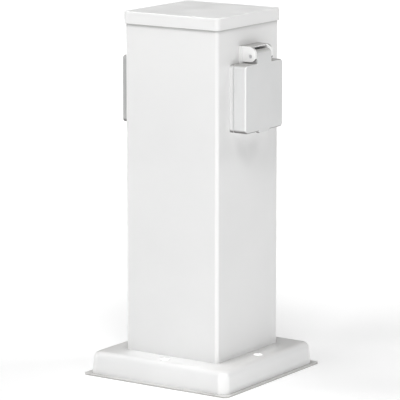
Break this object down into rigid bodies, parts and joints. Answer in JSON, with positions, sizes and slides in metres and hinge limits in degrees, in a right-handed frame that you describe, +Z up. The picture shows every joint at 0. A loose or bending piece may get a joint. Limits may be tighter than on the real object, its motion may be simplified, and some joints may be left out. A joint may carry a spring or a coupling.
{
  "type": "outdoor power socket post",
  "caption": "Square white garden power post on a formed base plate, with a spring-lidded socket outlet on two opposite faces and a pressed cap.",
  "frame": {"origin": "centre of the base's rim on the ground", "axes": "+Z up along the post; -Y is the plain front face; the outlets are on the +X and -X faces"},
  "size_m": [0.128, 0.128, 0.271],
  "materials": {
    "white_powder_coat": "satin",
    "white_plastic": "satin",
    "light_grey_plastic": "satin",
    "cream_plastic": "matte",
    "black_rubber": "matte",
    "brass": "satin",
    "zinc_steel": "satin",
    "spring_steel": "satin",
    "brown_insulation": "satin",
    "blue_insulation": "satin",
    "green_yellow_insulation": "satin"
  },
  "bodies": {
    "post": {"base_plate": "white_powder_coat", "base_screws": "zinc_steel", "cable_grommet": "black_rubber", "cap_clips": "spring_steel", "corner_blocks": "zinc_steel", "earth_lead": "green_yellow_insulation", "earth_lug": "brass", "earth_nut": "zinc_steel", "earth_stud": "brass", "earth_washer": "zinc_steel", "left_centre_screw": "zinc_steel", "left_contact_carrier": "cream_plastic", "left_earth_contact": "brass", "left_earth_wire": "green_yellow_insulation", "left_hinge_pin": "spring_steel", "left_lid_spring": "spring_steel", "left_live_contact": "brass", "left_live_wire": "brown_insulation", "left_neutral_contact": "brass", "left_neutral_wire": "blue_insulation", "left_outlet_flange": "white_plastic", "left_outlet_gasket": "black_rubber", "left_panel_nuts": "zinc_steel", "left_panel_screws": "zinc_steel", "left_rear_cover": "cream_plastic", "left_wire_screws": "zinc_steel", "post_tube": "white_powder_coat", "right_centre_screw": "zinc_steel", "right_contact_carrier": "cream_plastic", "right_earth_contact": "brass", "right_earth_wire": "green_yellow_insulation", "right_hinge_pin": "spring_steel", "right_lid_spring": "spring_steel", "right_live_contact": "brass", "right_live_wire": "brown_insulation", "right_neutral_contact": "brass", "right_neutral_wire": "blue_insulation", "right_outlet_flange": "white_plastic", "right_outlet_gasket": "black_rubber", "right_panel_nuts": "zinc_steel", "right_panel_screws": "zinc_steel", "right_rear_cover": "cream_plastic", "right_wire_screws": "zinc_steel", "terminal_block": "cream_plastic", "terminal_channel": "zinc_steel", "terminal_clamps": "brass", "terminal_fixing_screws": "zinc_steel", "terminal_screws": "zinc_steel", "top_cap": "white_powder_coat"},
    "left_lid_assembly": {"left_lid": "light_grey_plastic", "left_lid_seal": "black_rubber"},
    "right_lid_assembly": {"right_lid": "light_grey_plastic", "right_lid_seal": "black_rubber"}
  },
  "joints": [
    {"name": "right_lid_hinge", "type": "hinge", "parent": "post", "child": "right_lid_assembly", "pos_m": [0.05, 0, 0.2411], "axis": [0, -1, 0], "range_deg": [0, 110], "stiffness_Nm_per_rad": 0.012, "springref_deg": -57.3},
    {"name": "left_lid_hinge", "type": "hinge", "parent": "post", "child": "left_lid_assembly", "pos_m": [-0.05, 0, 0.2411], "axis": [0, 1, 0], "range_deg": [0, 110], "stiffness_Nm_per_rad": 0.012, "springref_deg": -57.3}
  ]
}
